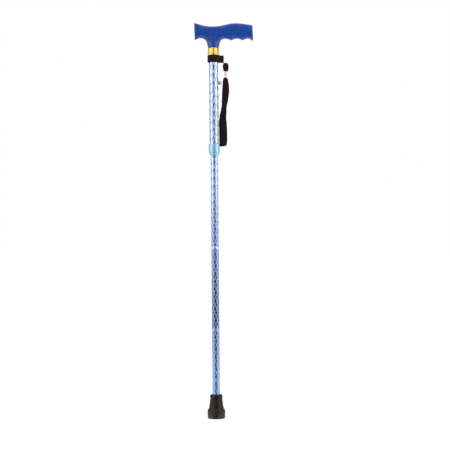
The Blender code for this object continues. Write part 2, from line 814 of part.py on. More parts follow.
def build_wrist_strap(upper):
    band = frame("strap_band_frame", upper, (0, 0, BAND_BOTTOM))
    strap_band(band)
    pivot = pivot_point()
    swing = frame("tether_frame", band, pivot - Vector((0, 0, BAND_BOTTOM)))
    tether_thread(swing)
    tether_loop(swing, pivot)
    origin = Vector((LINK_X, LINK_Y, 722.8))
    swivel = frame("wrist_loop_frame", swing, origin - pivot)
    link_cord(swivel)
    clear_sleeve(swivel)
    wrist_loop(swivel, origin)


def main():
    clear_scene()
    upper = build_upper_assembly()
    build_collar(upper)
    height = build_height_tube(upper)
    build_lower_sections(height)
    build_wrist_strap(upper)


main()
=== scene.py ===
"""Looks of the telescopic folding walking stick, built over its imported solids.

Heights and radii are in millimetres, as in the part's source, and become metres where a mesh is made.
"""

import math

import bmesh
import bpy
from mathutils import Matrix, Vector

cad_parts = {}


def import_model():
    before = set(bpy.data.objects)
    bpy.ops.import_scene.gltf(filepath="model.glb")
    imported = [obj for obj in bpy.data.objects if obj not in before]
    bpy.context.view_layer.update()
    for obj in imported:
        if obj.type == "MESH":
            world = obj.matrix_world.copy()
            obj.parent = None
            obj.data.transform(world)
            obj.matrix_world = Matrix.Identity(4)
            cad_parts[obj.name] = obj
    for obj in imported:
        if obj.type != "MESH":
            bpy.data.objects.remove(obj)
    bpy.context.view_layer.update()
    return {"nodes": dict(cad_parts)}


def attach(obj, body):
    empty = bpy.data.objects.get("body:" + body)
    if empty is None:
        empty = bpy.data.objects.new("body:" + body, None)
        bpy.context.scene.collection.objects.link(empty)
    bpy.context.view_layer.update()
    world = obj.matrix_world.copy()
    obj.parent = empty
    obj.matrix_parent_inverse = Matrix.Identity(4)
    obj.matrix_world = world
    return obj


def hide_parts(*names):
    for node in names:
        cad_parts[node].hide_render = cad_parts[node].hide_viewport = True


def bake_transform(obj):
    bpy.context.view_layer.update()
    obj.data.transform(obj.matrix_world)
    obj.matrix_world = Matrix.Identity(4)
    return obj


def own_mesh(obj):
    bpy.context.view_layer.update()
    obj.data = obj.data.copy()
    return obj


MM = 0.001
FRONT = -math.pi / 2

# The handle's ends on X, its neck as (bottom, height), and the corner over the brass ring's bead
HANDLE_ENDS = (-39.3, 84.2)
NECK = (785.9, 28.1)
BEAD_CORNER = 774.7

# Tubes as (bottom, top, bore radius, outer radius). The lower tubes share both radii, the rings one
UPPER_TUBE = (571.0, 785.7, 9.0, 10.0)
INNER_TUBE = (551.3, 735.0, 6.6, 7.6)
LOWER_TUBES = {"tube_2": (363.3, 547.0), "tube_3": (190.3, 358.1), "tube_4": (8.3, 187.0)}
LOWER_BORE = 7.1
LOWER_R = 8.1
JOINTS = {
    "joint_ring_1": (547.3, 551.0, 6.55),
    "joint_ring_2": (358.4, 363.0, 7.1),
    "joint_ring_3": (187.3, 190.0, 7.1),
}
RING_R = 8.2

# Rolled relief: height of a mesh row, mesh columns for each column of cells, and the plain rims
RELIEF_ROW = 0.7
RELIEF_SIDES = 10
PLAIN_RIM = 1.0
RIM_FADE = 1.6

# Height lock
BUTTON_Z = 711.0
BUTTON_R = 3.75
HOLE_R = BUTTON_R + 0.3
HOLE_PITCH = 19.05
HOLE_COUNT = 7
LEAF_WIDTH = 6.0
LEAF_THICKNESS = 0.5

# Wrist strap: the tab's direction, the elastic band, the foot of the clear link, and the webbing
STRAP_AZIMUTH = math.radians(20.3)
BAND_Z = 762.2
BAND_THICKNESS = 1.75
LINK = (25.5, 9.6, 722.8)
WEBBING_THICKNESS = 1.3

# View of the photo, in metres at the stick's plane, and in pixels
CAMERA_DISTANCE = 3.3
CAMERA_ROLL = math.radians(-0.476)
VIEW_WIDTH = 0.9545
VIEW_CENTRE = 0.410
PHOTO_PIXELS = 450
STICK_LEFT_PIXELS = 10.14

# What polished surfaces see: white, and a dark gap that is bluer near the floor
WHITE = (1.0, 1.0, 1.0)
HIGH_GAP = (0.02, 0.025, 0.05)
LOW_GAP = (0.05, 0.06, 0.15)


# Shader trees


class Wire:
    """An output socket. Arithmetic on it adds Math nodes to its tree."""

    def __init__(self, look, socket):
        self.look = look
        self.socket = socket

    def maths(self, operation, *values):
        return self.look.node("ShaderNodeMath", {"operation": operation}, dict(enumerate(values)))

    def __add__(self, other):
        return self.maths("ADD", self, other)

    def __radd__(self, other):
        return self.maths("ADD", other, self)

    def __sub__(self, other):
        return self.maths("SUBTRACT", self, other)

    def __rsub__(self, other):
        return self.maths("SUBTRACT", other, self)

    def __mul__(self, other):
        return self.maths("MULTIPLY", self, other)

    def __rmul__(self, other):
        return self.maths("MULTIPLY", other, self)

    def __truediv__(self, other):
        return self.maths("DIVIDE", self, other)

    def __rtruediv__(self, other):
        return self.maths("DIVIDE", other, self)

    def __abs__(self):
        return self.maths("ABSOLUTE", self)

    def sine(self):
        return self.maths("SINE", self)

    def between(self, low, high):
        """0 below low, 1 above high, and smooth between them."""
        ranges = {"From Min": low, "From Max": high}
        settings = {"interpolation_type": "SMOOTHSTEP"}
        return self.look.node("ShaderNodeMapRange", settings, {"Value": self, **ranges})


class Look:
    """The node tree of a material or of the world."""

    def __init__(self, owner):
        owner.use_nodes = True
        self.owner = owner
        self.tree = owner.node_tree
        self.tree.nodes.clear()

    def node(self, kind, settings=None, sockets=None, output=0):
        """Output of a new node. A socket takes a value or a link."""
        made = self.tree.nodes.new(kind)
        for name, value in (settings or {}).items():
            setattr(made, name, value)
        for name, value in (sockets or {}).items():
            if isinstance(value, Wire):
                self.tree.links.new(value.socket, made.inputs[name])
            else:
                made.inputs[name].default_value = value
        return Wire(self, made.outputs[output])

    def mix(self, share, first, second):
        """Colour between two colours."""
        sockets = {0: share, 6: self.colour(first), 7: self.colour(second)}
        return self.node("ShaderNodeMix", {"data_type": "RGBA"}, sockets, 2)

    def shade(self, share, first, second):
        """Shader between two shaders."""
        return self.node("ShaderNodeMixShader", None, {0: share, 1: first, 2: second})

    def colour(self, value):
        return value if isinstance(value, Wire) else (*value, 1.0)

    def place(self):
        """Object coordinates, in metres."""
        return self.node("ShaderNodeTexCoord", None, None, 3)

    def split(self, vector):
        parts = self.node("ShaderNodeSeparateXYZ", None, {0: vector})
        outputs = parts.socket.node.outputs
        return [Wire(self, outputs[k]) for k in range(3)]

    def join(self, x, y, z):
        return self.node("ShaderNodeCombineXYZ", None, {0: x, 1: y, 2: z})

    def stretched(self, vector, scale):
        """Coordinates scaled along each axis, which stretches a pattern that reads them."""
        return self.node("ShaderNodeMapping", None, {"Vector": vector, "Scale": scale})

    def noise(self, vector, scale, detail=2.0, rough=0.5):
        sockets = {"Vector": vector, "Scale": scale, "Detail": detail, "Roughness": rough}
        return self.node("ShaderNodeTexNoise", None, sockets)

    def bump(self, height, strength, distance):
        sockets = {"Height": height, "Strength": strength, "Distance": distance}
        return self.node("ShaderNodeBump", None, sockets)

    def rays(self):
        """Whether a ray comes from the camera, from a gloss, or through clear matter."""
        outputs = self.node("ShaderNodeLightPath").socket.node.outputs
        names = ("Is Camera Ray", "Is Glossy Ray", "Is Transmission Ray")
        return [Wire(self, outputs[name]) for name in names]

    def end(self, shader, kind="ShaderNodeOutputMaterial"):
        self.tree.links.new(shader.socket, self.tree.nodes.new(kind).inputs[0])
        return self.owner


def new_look(name):
    return Look(bpy.data.materials.new(name))


def principled(look, base, rough, metal=0.0, normal=None, **constants):
    """The finished material. Constants are sockets' names, with underscores for spaces."""
    sockets = {"Base Color": look.colour(base), "Roughness": rough, "Metallic": metal}
    if normal is not None:
        sockets["Normal"] = normal
    sockets.update({name.replace("_", " "): value for name, value in constants.items()})
    return look.end(look.node("ShaderNodeBsdfPrincipled", None, sockets))


def around(look, place):
    """Angle round the stick's axis, and height."""
    x, y, z = look.split(place)
    return y.maths("ARCTAN2", y, x), z


# Finishes


def blue_moulding():
    """Satin moulded plastic with a fine spark texture and a faint mould line."""
    look = new_look("satin blue moulding")
    place = look.place()
    y = look.split(place)[1]
    cloud = look.noise(place, 55.0, 3.0)
    grain = look.noise(place, 2400.0, 2.0)
    rub = look.noise(look.stretched(place, (0.35, 1.0, 1.0)), 420.0, 4.0, 0.6).between(0.56, 0.74)
    line = 1 - abs(y).between(0.00005, 0.0003)
    base = look.mix(cloud, (0.0070, 0.068, 0.420), (0.0115, 0.084, 0.485))
    base = look.mix(rub * 0.18, base, (0.030, 0.095, 0.40))
    rough = 0.18 + grain * 0.07 + rub * 0.08
    normal = look.bump(grain * 0.3 + line * 0.9 + rub * 0.1, 0.2, 0.0001)
    return principled(look, base, rough, 0.0, normal, Specular_IOR_Level=0.6)


def gold_brass():
    """Polished brass with turning lines and slight tarnish in the corner of the bead."""
    look = new_look("polished brass")
    place = look.place()
    angle, z = around(look, place)
    lines = look.noise(look.join(angle * 0.25, 0.0, z * 900.0), 9.0, 3.0)
    stain = look.noise(place, 160.0, 3.0).between(0.45, 0.75)
    corner = 1 - abs(z - BEAD_CORNER * MM).between(0.0002, 0.0011)
    base = look.mix(stain * 0.35 + corner * 0.45, (1.0, 0.76, 0.17), (0.80, 0.46, 0.06))
    rough = 0.25 + lines * 0.08 + stain * 0.07
    return principled(look, base, rough, 1.0, look.bump(lines, 0.06, 0.00008))


def anodised(name, span, bottom, top, crest):
    """Anodised relief: deep coloured cut cells, pale ridges, and fine drawing lines. The pale ridges
    against the deep cells are partly rubbed wear and partly a painted highlight, where rounded ridges
    would catch light.

    The cells' colour goes from bottom to top over the span, and crest is the ridges' colour.
    """
    look = new_look(name)
    place = look.place()
    angle, z = around(look, place)
    ridge = look.node("ShaderNodeAttribute", {"attribute_name": "ridge"}, None, 2)
    drawn = look.noise(look.join(angle * 90.0, 0.0, z * 60.0), 6.0, 3.0)
    cloud = look.noise(place, 45.0, 2.0)
    cells = look.mix(z.between(span[0] * MM, span[1] * MM), bottom, top)
    cells = look.mix(cloud.between(0.4, 0.8) * 0.12, cells, (0.30, 0.46, 0.80))
    # Painted highlight: the ridges are made paler, partly as rubbed wear and partly for the light that
    # rounded ridges would catch
    rubbed_and_highlight = ridge.between(0.3, 0.85)
    base = look.mix(rubbed_and_highlight, cells, crest)
    rough = 0.15 + drawn * 0.07 + rubbed_and_highlight * 0.25
    normal = look.bump(drawn, 0.05, 0.00006)
    return principled(look, base, rough, 1.0 - rubbed_and_highlight * 0.35, normal)


def drawn_tube():
    """Plain anodised tube with long drawing lines and light rub marks from sliding."""
    look = new_look("drawn blue anodising")
    place = look.place()
    angle, z = around(look, place)
    drawn = look.noise(look.join(angle * 70.0, 0.0, z * 8.0), 6.0, 3.0)
    rub = look.noise(look.join(angle * 8.0, 0.0, z * 18.0), 5.0, 4.0).between(0.55, 0.75)
    base = look.mix(rub * 0.5, (0.50, 0.68, 0.92), (0.78, 0.86, 0.95))
    rough = 0.2 + drawn * 0.1 + rub * 0.06
    return principled(look, base, rough, 1.0, look.bump(drawn, 0.05, 0.00006))


def bright_aluminium(name="turned bright aluminium", low=(0.62, 0.74, 0.92), high=(0.76, 0.86, 0.97)):
    """Turned aluminium with a faint blue dye."""
    look = new_look(name)
    place = look.place()
    angle, z = around(look, place)
    lines = look.noise(look.join(angle * 0.3, 0.0, z * 1500.0), 5.0, 2.0)
    cloud = look.noise(place, 90.0, 3.0)
    base = look.mix(cloud, low, high)
    return principled(look, base, 0.16 + lines * 0.12, 1.0, look.bump(lines, 0.08, 0.00005))


def spring_steel():
    look = new_look("ground spring steel")
    place = look.place()
    grind = look.noise(look.stretched(place, (900.0, 60.0, 90.0)), 4.0, 3.0)
    tint = look.noise(place, 130.0, 3.0)
    base = look.mix(tint, (0.34, 0.35, 0.37), (0.46, 0.46, 0.47))
    return principled(look, base, 0.24 + grind * 0.14, 1.0, look.bump(grind, 0.08, 0.00005))


def copper_button():
    """Copper coloured plating, smoother and lighter on the dome, which is thumb wear and also a painted
    highlight, and darker round the base by the tube, which is painted shade.
    """
    look = new_look("copper coloured button")
    place = look.place()
    x = look.split(place)[0]
    lines = look.noise(look.stretched(place, (2500.0, 200.0, 200.0)), 2.0, 2.0)
    tarnish = look.noise(place, 420.0, 3.0)
    # Painted highlight and shade: the dome is lighter and the base by the tube darker; the dome is also
    # smoother where thumbs wear it
    dome_wear_and_highlight = x.between(0.0130, 0.0166)
    base = look.mix(dome_wear_and_highlight, (0.68, 0.47, 0.34), (0.96, 0.74, 0.58))
    base = look.mix(tarnish.between(0.4, 0.7) * 0.3, base, (0.46, 0.28, 0.18))
    rough = 0.44 + tarnish * 0.12 - dome_wear_and_highlight * 0.05
    return principled(look, base, rough, 0.6, look.bump(lines, 0.05, 0.00005))


def collar_plastic():
    """Translucent light blue plastic with flow marks from the mould."""
    look = new_look("translucent blue collar plastic")
    place = look.place()
    angle, z = around(look, place)
    flow = look.noise(look.join(angle * 1.5, 0.0, z * 120.0), 2.0, 3.0)
    fine = look.noise(place, 1800.0, 2.0)
    base = look.mix(flow.between(0.35, 0.7) * 0.5, (0.39, 0.73, 0.98), (0.49, 0.80, 1.0))
    rough = 0.2 + fine * 0.06 + flow * 0.05
    normal = look.bump(flow, 0.03, 0.0001)
    return principled(look, base, rough, 0.55, normal, Transmission_Weight=0.08, IOR=1.47)


def clear_plastic(name="clear tube plastic", tint=(0.94, 0.86, 0.83)):
    """Clear soft plastic, faintly pink, with die lines along it."""
    look = new_look(name)
    place = look.place()
    lines = look.noise(look.stretched(place, (1500.0, 1500.0, 60.0)), 2.0, 2.0)
    haze = look.noise(place, 300.0, 3.0)
    base = look.mix(haze, tint, (0.97, 0.92, 0.90))
    rough = 0.06 + haze * 0.08
    normal = look.bump(lines, 0.04, 0.00005)
    return principled(look, base, rough, 0.0, normal, Transmission_Weight=0.88, IOR=1.36)


def white_nylon():
    look = new_look("natural nylon")
    place = look.place()
    cloud = look.noise(place, 90.0, 3.0)
    grain = look.noise(place, 1600.0, 2.0)
    base = look.mix(cloud, (0.74, 0.72, 0.65), (0.86, 0.85, 0.80))
    return principled(look, base, 0.42 + grain * 0.12, 0.0, look.bump(grain, 0.12, 0.0001))


def black_rubber():
    """Matt black-brown rubber: fine pitting, chalky bloom on the flange, dust near the ground, and
    painted shade that darkens the skirt.
    """
    look = new_look("black rubber")
    place = look.place()
    angle, z = around(look, place)
    pits = look.noise(place, 1500.0, 3.0, 0.6)
    cloud = look.noise(place, 110.0, 4.0, 0.6)
    bloom = cloud.between(0.42, 0.72)
    low = 1 - z.between(0.001, 0.020)
    base = look.mix(bloom, (0.0040, 0.0034, 0.0020), (0.0150, 0.0092, 0.0080))
    base = look.mix(low * (0.25 + cloud * 0.5), base, (0.080, 0.052, 0.050))
    # Painted shade: the skirt is darkened, standing for the dark reflection it shows, and it is also
    # made smoother
    painted_shade_skirt = z.between(0.018, 0.028) * (1 - z.between(0.040, 0.046))
    base = look.mix(painted_shade_skirt * 0.7, base, (0.0024, 0.0015, 0.0008))
    scuff = look.noise(look.join(angle * 3.0, 0.0, z * 900.0), 3.0, 3.0).between(0.62, 0.75)
    base = look.mix(scuff * low * 0.4, base, (0.12, 0.105, 0.095))
    rough = 0.33 + bloom * 0.14 + scuff * 0.1 - painted_shade_skirt * 0.11
    normal = look.bump(pits + scuff * 0.4, 0.22, 0.00015)
    gloss = {"Specular_IOR_Level": 0.42, "Specular_Tint": (1.0, 0.80, 0.78, 1.0)}
    return principled(look, base, rough, 0.0, normal, **gloss)


def webbing(name, rib, pick, dark, light):
    """Woven webbing: ribs along the strap, a slanting weave over them, and loose fibres.

    Rib and pick are the weave's spacings across and along the strap, in metres.
    """
    look = new_look(name)
    along = look.node("ShaderNodeUVMap", {"uv_map": "weave"})
    u, v = look.split(along)[:2]
    side = abs(u)
    slant = (side * (math.tau / rib) + v * (math.tau / pick)).sine()
    picks = (v * (math.tau / (pick * 0.5))).sine()
    ribs = (u * (math.tau / rib)).sine()
    weave = 0.5 + slant * 0.3 + ribs * 0.12 + picks * 0.08
    fibres = look.noise(look.stretched(along, (1.0, 0.35, 1.0)), 3800.0, 3.0, 0.65)
    patch = look.noise(look.stretched(along, (1.0, 0.25, 1.0)), 150.0, 3.0, 0.6)
    share = weave * 0.55 + fibres * 0.45
    base = look.mix(share, dark, light)
    base = look.mix(patch.between(0.45, 0.7) * 0.45, base, (0.020, 0.0095, 0.008))
    rough = 0.72 + fibres * 0.18
    normal = look.bump(weave * 0.8 + fibres * 0.35, 0.5, 0.0002)
    return principled(look, base, rough, 0.0, normal, Specular_IOR_Level=0.18)


def sewing_thread():
    look = new_look("dark sewing thread")
    place = look.place()
    twist = look.noise(look.stretched(place, (1.0, 1.0, 2.5)), 1500.0, 3.0, 0.6)
    base = look.mix(twist, (0.014, 0.011, 0.011), (0.055, 0.045, 0.042))
    return principled(look, base, 0.55 + twist * 0.2, 0.0, look.bump(twist, 0.4, 0.0001))


def elastic_braid():
    """Braided cover of the cord, with its crossing yarns."""
    look = new_look("braided cord cover")
    place = look.place()
    angle, z = around(look, place)
    left = (angle * 6.0 + z * 2600.0).sine()
    right = (angle * 6.0 - z * 2600.0).sine()
    braid = 0.5 + left * right * 0.5
    fibres = look.noise(place, 3000.0, 3.0)
    base = look.mix(braid * 0.7 + fibres * 0.3, (0.50, 0.49, 0.46), (0.84, 0.83, 0.80))
    return principled(look, base, 0.7 + fibres * 0.15, 0.0, look.bump(braid, 0.5, 0.0002))


# Mesh helpers


def smooth(points, at):
    """Value of a smooth curve through (position, value) points with rising positions."""
    last = len(points) - 2
    i = max(0, min(last, sum(1 for p in points[1:-1] if p[0] <= at)))
    (x0, y0), (x1, y1) = points[i], points[i + 1]
    before = points[max(i - 1, 0)]
    after = points[min(i + 2, last + 1)]
    slope_0 = (y1 - before[1]) / (x1 - before[0])
    slope_1 = (after[1] - y0) / (after[0] - x0)
    step = x1 - x0
    t = max(0.0, min(1.0, (at - x0) / step))
    ends = y0 * (2 * t**3 - 3 * t**2 + 1) + y1 * (3 * t**2 - 2 * t**3)
    return ends + step * (slope_0 * (t**3 - 2 * t**2 + t) + slope_1 * (t**3 - t**2))


def eased(outline, radius, steps=4, closed=True):
    """The outline with each corner replaced by a short curve."""
    made = []
    count = len(outline)
    for k, point in enumerate(outline):
        here = Vector(point)
        if not closed and k in (0, count - 1):
            made.append(tuple(here))
            continue
        before, after = Vector(outline[k - 1]), Vector(outline[(k + 1) % count])
        cut = min(radius, 0.45 * (before - here).length, 0.45 * (after - here).length)
        start = here + (before - here).normalized() * cut
        end = here + (after - here).normalized() * cut
        for j in range(steps + 1):
            t = j / steps
            made.append(tuple(start * (1 - t) ** 2 + here * 2 * t * (1 - t) + end * t**2))
    return made


def mesh_data(name, mesh):
    """The mesh as a data block."""
    data = bpy.data.meshes.new(name)
    mesh.to_mesh(data)
    mesh.free()
    return data


def placed(name, data):
    """A new object in the scene."""
    obj = bpy.data.objects.new(name, data)
    bpy.context.scene.collection.objects.link(obj)
    return obj


def applied(obj, *helpers):
    """The object's mesh with its modifiers applied. It and its helpers are removed."""
    bpy.context.view_layer.update()
    graph = bpy.context.evaluated_depsgraph_get()
    result = bpy.data.meshes.new_from_object(obj.evaluated_get(graph))
    for used in (obj, *helpers):
        bpy.data.objects.remove(used, do_unlink=True)
    return result


def rim(verts):
    """Edges that join these points, in the order of the points."""
    chosen = set(verts)
    met = dict.fromkeys(edge for vert in verts for edge in vert.link_edges)
    return [edge for edge in met if all(vert in chosen for vert in edge.verts)]


def piece(name, mesh, finish, body, *nodes, slot, angle=35):
    """A finished piece from its mesh, with the rest as in dressed."""
    return dressed(name, mesh_data(name, mesh), finish, body, *nodes, slot=slot, angle=angle)


def dressed(name, data, finish, body, *nodes, slot, angle=35):
    """A finished piece, shaded smooth up to the angle, that stands for its CAD nodes.

    One that is blended across a joint has no body.
    """
    data.shade_smooth()
    data.set_sharp_from_angle(angle=math.radians(angle))
    data.materials.clear()
    data.materials.append(finish)
    obj = placed(name, data)
    if body:
        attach(obj, body)
    if nodes:
        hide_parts(*nodes)
    return obj


def turned(outline, steps=96, axis="Z"):
    """A closed solid spun from its (radius, height) outline."""
    mesh = bmesh.new()
    points = [mesh.verts.new((radius * MM, 0.0, height * MM)) for radius, height in outline]
    poles = outline[0][0] == 0 and outline[-1][0] == 0
    nexts = points[1:] if poles else points[1:] + points[:1]
    edges = [mesh.edges.new(pair) for pair in zip(points, nexts)]
    whole = {"cent": (0, 0, 0), "axis": (0, 0, 1), "angle": math.tau, "use_merge": True}
    bmesh.ops.spin(mesh, geom=points + edges, steps=steps, **whole)
    bmesh.ops.remove_doubles(mesh, verts=mesh.verts, dist=1e-6)
    if axis == "X":
        bmesh.ops.rotate(mesh, matrix=Matrix.Rotation(math.pi / 2, 3, "Y"), verts=mesh.verts)
    bmesh.ops.recalc_face_normals(mesh, faces=mesh.faces)
    return mesh


def cut_away(mesh, *tools):
    """The mesh's data with the tools' solids taken out of it."""
    blank = placed("blank", mesh_data("blank", mesh))
    cutters = [placed("tool", mesh_data("tool", tool)) for tool in tools]
    for cutter in cutters:
        change = blank.modifiers.new("cut", "BOOLEAN")
        change.solver = "EXACT"
        change.object = cutter
    return applied(blank, *cutters)


# Handle


def handle_top(x):
    """Height of the handle's upper line at x."""
    saddle = [(-40, 839.4), (-36, 838.15), (-30, 835.9), (-22, 833.5), (-10, 831.35), (2, 831.15)]
    rise = [(12, 831.7), (24.6, 834.35), (38, 836.95), (50, 837.4)]
    fall = [(60, 836.6), (70, 835.1), (78, 834.0), (85, 833.2)]
    return smooth(saddle + rise + fall, x)


def handle_underside(x):
    """Height of the lower line at x: three finger grooves on the long end, one on the short end."""
    level, blunt = 802.5, 0.14
    long_end = [(13.5, 37.8, 801.1, 3.6), (37.8, 62.1, 801.1, 3.6), (62.1, 84.4, 801.1, 3.6)]
    for start, end, base, depth in [(-39.6, -15.5, 801.6, 4.8), *long_end]:
        if start <= x <= end:
            corner = max(0.0, (x - 73.5) / 10.7) ** 2 * 2.4
            wave = math.sin(math.pi * (x - start) / (end - start))
            return base + depth * (math.hypot(wave, blunt) - blunt) / 0.87 - corner
    return level


def bar_point(x, inset, turn, power=2.8):
    """Point of the handle's rounded section at x.

    The bar is 26 mm deep at x 20 and slightly less at its ends, where the sections lean outwards.
    """
    top = handle_top(x) - inset
    bottom = handle_underside(x) + inset
    half_depth = 13.0 - inset - 0.8 * (abs(x - 20) / 64) ** 2
    lean = 0.036 * max(0.0, (-27 - x) / 12.3) + 0.042 * max(0.0, (x - 70) / 14.2)
    across, up = math.cos(turn), math.sin(turn)
    y = half_depth * math.copysign(abs(across) ** (2 / power), across)
    z = (top + bottom) / 2 + (top - bottom) / 2 * math.copysign(abs(up) ** (2 / power), up)
    return Vector((x - lean * (z - 803), y, z)) * MM


def neck_point(z, turn):
    """Point of the neck's oval section at a height."""
    base = [(785.9, 11.2), (786.6, 11.9), (788, 12.15), (789.6, 12.4), (792, 12.8), (794, 13.2)]
    flare = [(796, 13.75), (798.1, 14.4), (800.3, 15.75), (802.4, 17.2), (804.5, 19.5), (806.6, 21.9)]
    half_width = smooth([*base, *flare, (808.5, 25), (814, 27)], z)
    half_depth = smooth([(785.9, 11.8), (792, 12.1), (800, 12.4), (807, 12.6), (814, 12.2)], z)
    return Vector((half_width * math.cos(turn), half_depth * math.sin(turn), z)) * MM


def skinned(mesh, stations, point, sides=64):
    """Rings of points, one for each station, bridged into a closed body."""
    rings = []
    for station in stations:
        ring = bmesh.ops.create_circle(mesh, segments=sides, radius=1.0)["verts"]
        for k, vert in enumerate(ring):
            vert.co = point(station, math.tau * k / sides)
        rings.append(rim(ring))
    for low, high in zip(rings, rings[1:]):
        bmesh.ops.bridge_loops(mesh, edges=low + high)
    for cap in (rings[0], rings[-1]):
        bmesh.ops.edgeloop_fill(mesh, edges=cap)


def handle():
    """Moulded handle: bar and neck fused, their meeting softened, ends slightly dished."""
    mesh = bmesh.new()
    left, right = HANDLE_ENDS
    rounding = [(0.0, 0.9), (0.3, 0.42), (0.8, 0.12), (1.4, 0.0)]
    stations = [(left + along, inset) for along, inset in rounding]
    stations += [(left + (right - left) * k / 84, 0.0) for k in range(2, 83)]
    stations += [(right - along, inset) for along, inset in reversed(rounding)]
    skinned(mesh, stations, lambda station, turn: bar_point(*station, turn))
    skinned(mesh, [NECK[0] + NECK[1] * k / 30 for k in range(31)], neck_point)
    bmesh.ops.recalc_face_normals(mesh, faces=mesh.faces)
    blank = placed("handle blank", mesh_data("handle blank", mesh))
    remesh = blank.modifiers.new("fuse", "REMESH")
    remesh.mode = "VOXEL"
    remesh.voxel_size = 0.66 * MM
    fused = bmesh.new()
    fused.from_mesh(applied(blank))
    axes = {"use_axis_x": True, "use_axis_y": True, "use_axis_z": True}
    for _ in range(4):
        bmesh.ops.smooth_vert(fused, verts=fused.verts, factor=0.5, **axes)
    for vert in fused.verts:
        dish_ends(vert)
    bore = turned([(0, 783.0), (8.3, 783.0), (8.3, 812.2), (0, 812.2)], 64)
    data = cut_away(fused, bore)
    looks = {"slot": "blue_moulding", "angle": 50}
    dressed("moulded_handle", data, blue_moulding(), "upper_assembly", "handle_grip", **looks)


def dish_ends(vert):
    """Presses the middle of each end face in a little."""
    half_width, half_height, middle = 11.5, 14.5, 818.5
    depth, skin, reach = 0.7, 1.6, 2.4
    for end, way in zip(HANDLE_ENDS, (1, -1)):
        near = (vert.co.x / MM - end) * way
        off = math.hypot(vert.co.y / MM / half_width, (vert.co.z / MM - middle) / half_height)
        if near < skin and off < 1:
            vert.co.x += way * depth * MM * (1 - off**2) ** 2 * max(0.0, 1 - near / reach)


def brass_ring():
    """Ring with a bead rolled at its lower edge."""
    turns = [math.radians(k) for k in range(-90, 75, 15)]
    bead = [(12.0 + 0.75 * math.cos(a), 771.9 + 1.9 * math.sin(a)) for a in turns]
    body = [(12.15, 774.4), (12.15, 784.6), (11.8, 785.3), (11.2, 785.7), (10.2, 785.7)]
    mesh = turned([(10.2, 770.0), *bead, *body], 128)
    piece("rolled_brass_ring", mesh, gold_brass(), "upper_assembly", "brass_ring", slot="polished_brass")


# Tubes


def relief(turn, height, count, pitch, phase, twist, origin):
    """Share of the full cut at a point, and how near the point is to a ridge.

    The cut cells are lens shaped. They stand in columns, every other one moved up half a pitch.
    """
    soft, ridge_reach = 0.12, 0.55
    column = (turn - origin - twist * height) * count / math.tau
    low = math.floor(column)
    values = []
    for k in (low, low + 1):
        row = (height - phase) / pitch + 0.5 * (k % 2)
        values.append(math.cos(math.pi * row) ** 2 - (column - k) ** 2)
    apart = abs(values[0] - values[1])
    share = (sum(values) + math.hypot(apart, soft)) / 2 - soft / 2
    return max(share, 0.0), 1 - min(1.0, apart / ridge_reach)


def embossed_tube(name, finish, body, size, pattern, depth, holes=()):
    """A tube with its rolled relief in the surface, plain rims and square ends."""
    bottom, top, bore, radius = size
    rows = round((top - bottom) / RELIEF_ROW)
    mesh = bmesh.new()
    half = (top - bottom) / 2 * MM
    middle = Matrix.Translation((0, 0, (top + bottom) / 2 * MM))
    shape = {"segments": pattern["count"] * RELIEF_SIDES, "depth": 2 * half, "matrix": middle}
    bmesh.ops.create_cone(mesh, radius1=radius * MM, radius2=radius * MM, **shape)
    upright = [edge for edge in mesh.edges if abs(edge.verts[0].co.z - edge.verts[1].co.z) > half]
    bmesh.ops.subdivide_edges(mesh, edges=upright, cuts=rows - 1, use_grid_fill=True)
    for vert in mesh.verts:
        turn = math.atan2(vert.co.y, vert.co.x)
        height = vert.co.z / MM
        cut = depth * relief(turn, height, **pattern)[0] * rim_share(height, bottom, top)
        vert.co.xy = Vector((math.cos(turn), math.sin(turn))) * (radius - cut) * MM
    inner = bmesh.ops.create_cone(mesh, radius1=bore * MM, radius2=bore * MM, **shape)["verts"]
    bmesh.ops.reverse_faces(mesh, faces=list({face for vert in inner for face in vert.link_faces}))
    for height in (bottom, top):
        edges = [e for e in mesh.edges if all(abs(v.co.z / MM - height) < 0.01 for v in e.verts)]
        bmesh.ops.bridge_loops(mesh, edges=edges)
    bmesh.ops.recalc_face_normals(mesh, faces=mesh.faces)
    data = cut_away(mesh, *holes) if holes else mesh_data(name, mesh)
    mark_ridges(data, bottom, top, pattern)
    dressed("embossed_" + name, data, finish, body, name, slot=slot_of(name), angle=60)


def slot_of(name):
    """The record's slot: the two lowest tubes are the darker ones."""
    return "mid_blue_anodising" if name in ("tube_3", "tube_4") else "pale_blue_anodising"


def rim_share(height, bottom, top):
    """0 at a tube's plain ends and 1 between them."""
    return min(1.0, max(0.0, min(height - bottom, top - height) - PLAIN_RIM) / RIM_FADE)


def mark_ridges(data, bottom, top, pattern):
    """Stores how near each point is to a ridge, for the finish, which makes the ridges pale as rubbed
    wear and as a painted highlight. Plain rims count as such pale ridges.
    """
    plain = 0.6
    values = []
    for vert in data.vertices:
        turn = math.atan2(vert.co.y, vert.co.x)
        height = vert.co.z / MM
        ridge = relief(turn, height, **pattern)[1]
        values.append(plain + (ridge - plain) * rim_share(height, bottom, top))
    data.attributes.new("ridge", "FLOAT", "POINT").data.foreach_set("value", values)


def hole_tool(start, end, height):
    """What a hole for the button takes out, from start to end on +X."""
    tool = turned([(0, start), (HOLE_R, start), (HOLE_R, end), (0, end)], 40, "X")
    bmesh.ops.translate(tool, vec=(0, 0, height * MM), verts=tool.verts)
    return tool


def upper_tube():
    colours = ((0.42, 0.58, 0.82), (0.47, 0.64, 0.86), (0.84, 0.91, 0.98))
    finish = anodised("pale blue relief", UPPER_TUBE[:2], *colours)
    holes = [hole_tool(5.0, 14.0, BUTTON_Z - HOLE_PITCH * k) for k in range(HOLE_COUNT)]
    pattern = {"count": 16, "pitch": 17.9, "phase": -7.66, "twist": 0.004, "origin": FRONT + 0.18}
    embossed_tube("upper_tube", finish, "upper_assembly", UPPER_TUBE, pattern, 0.27, holes)


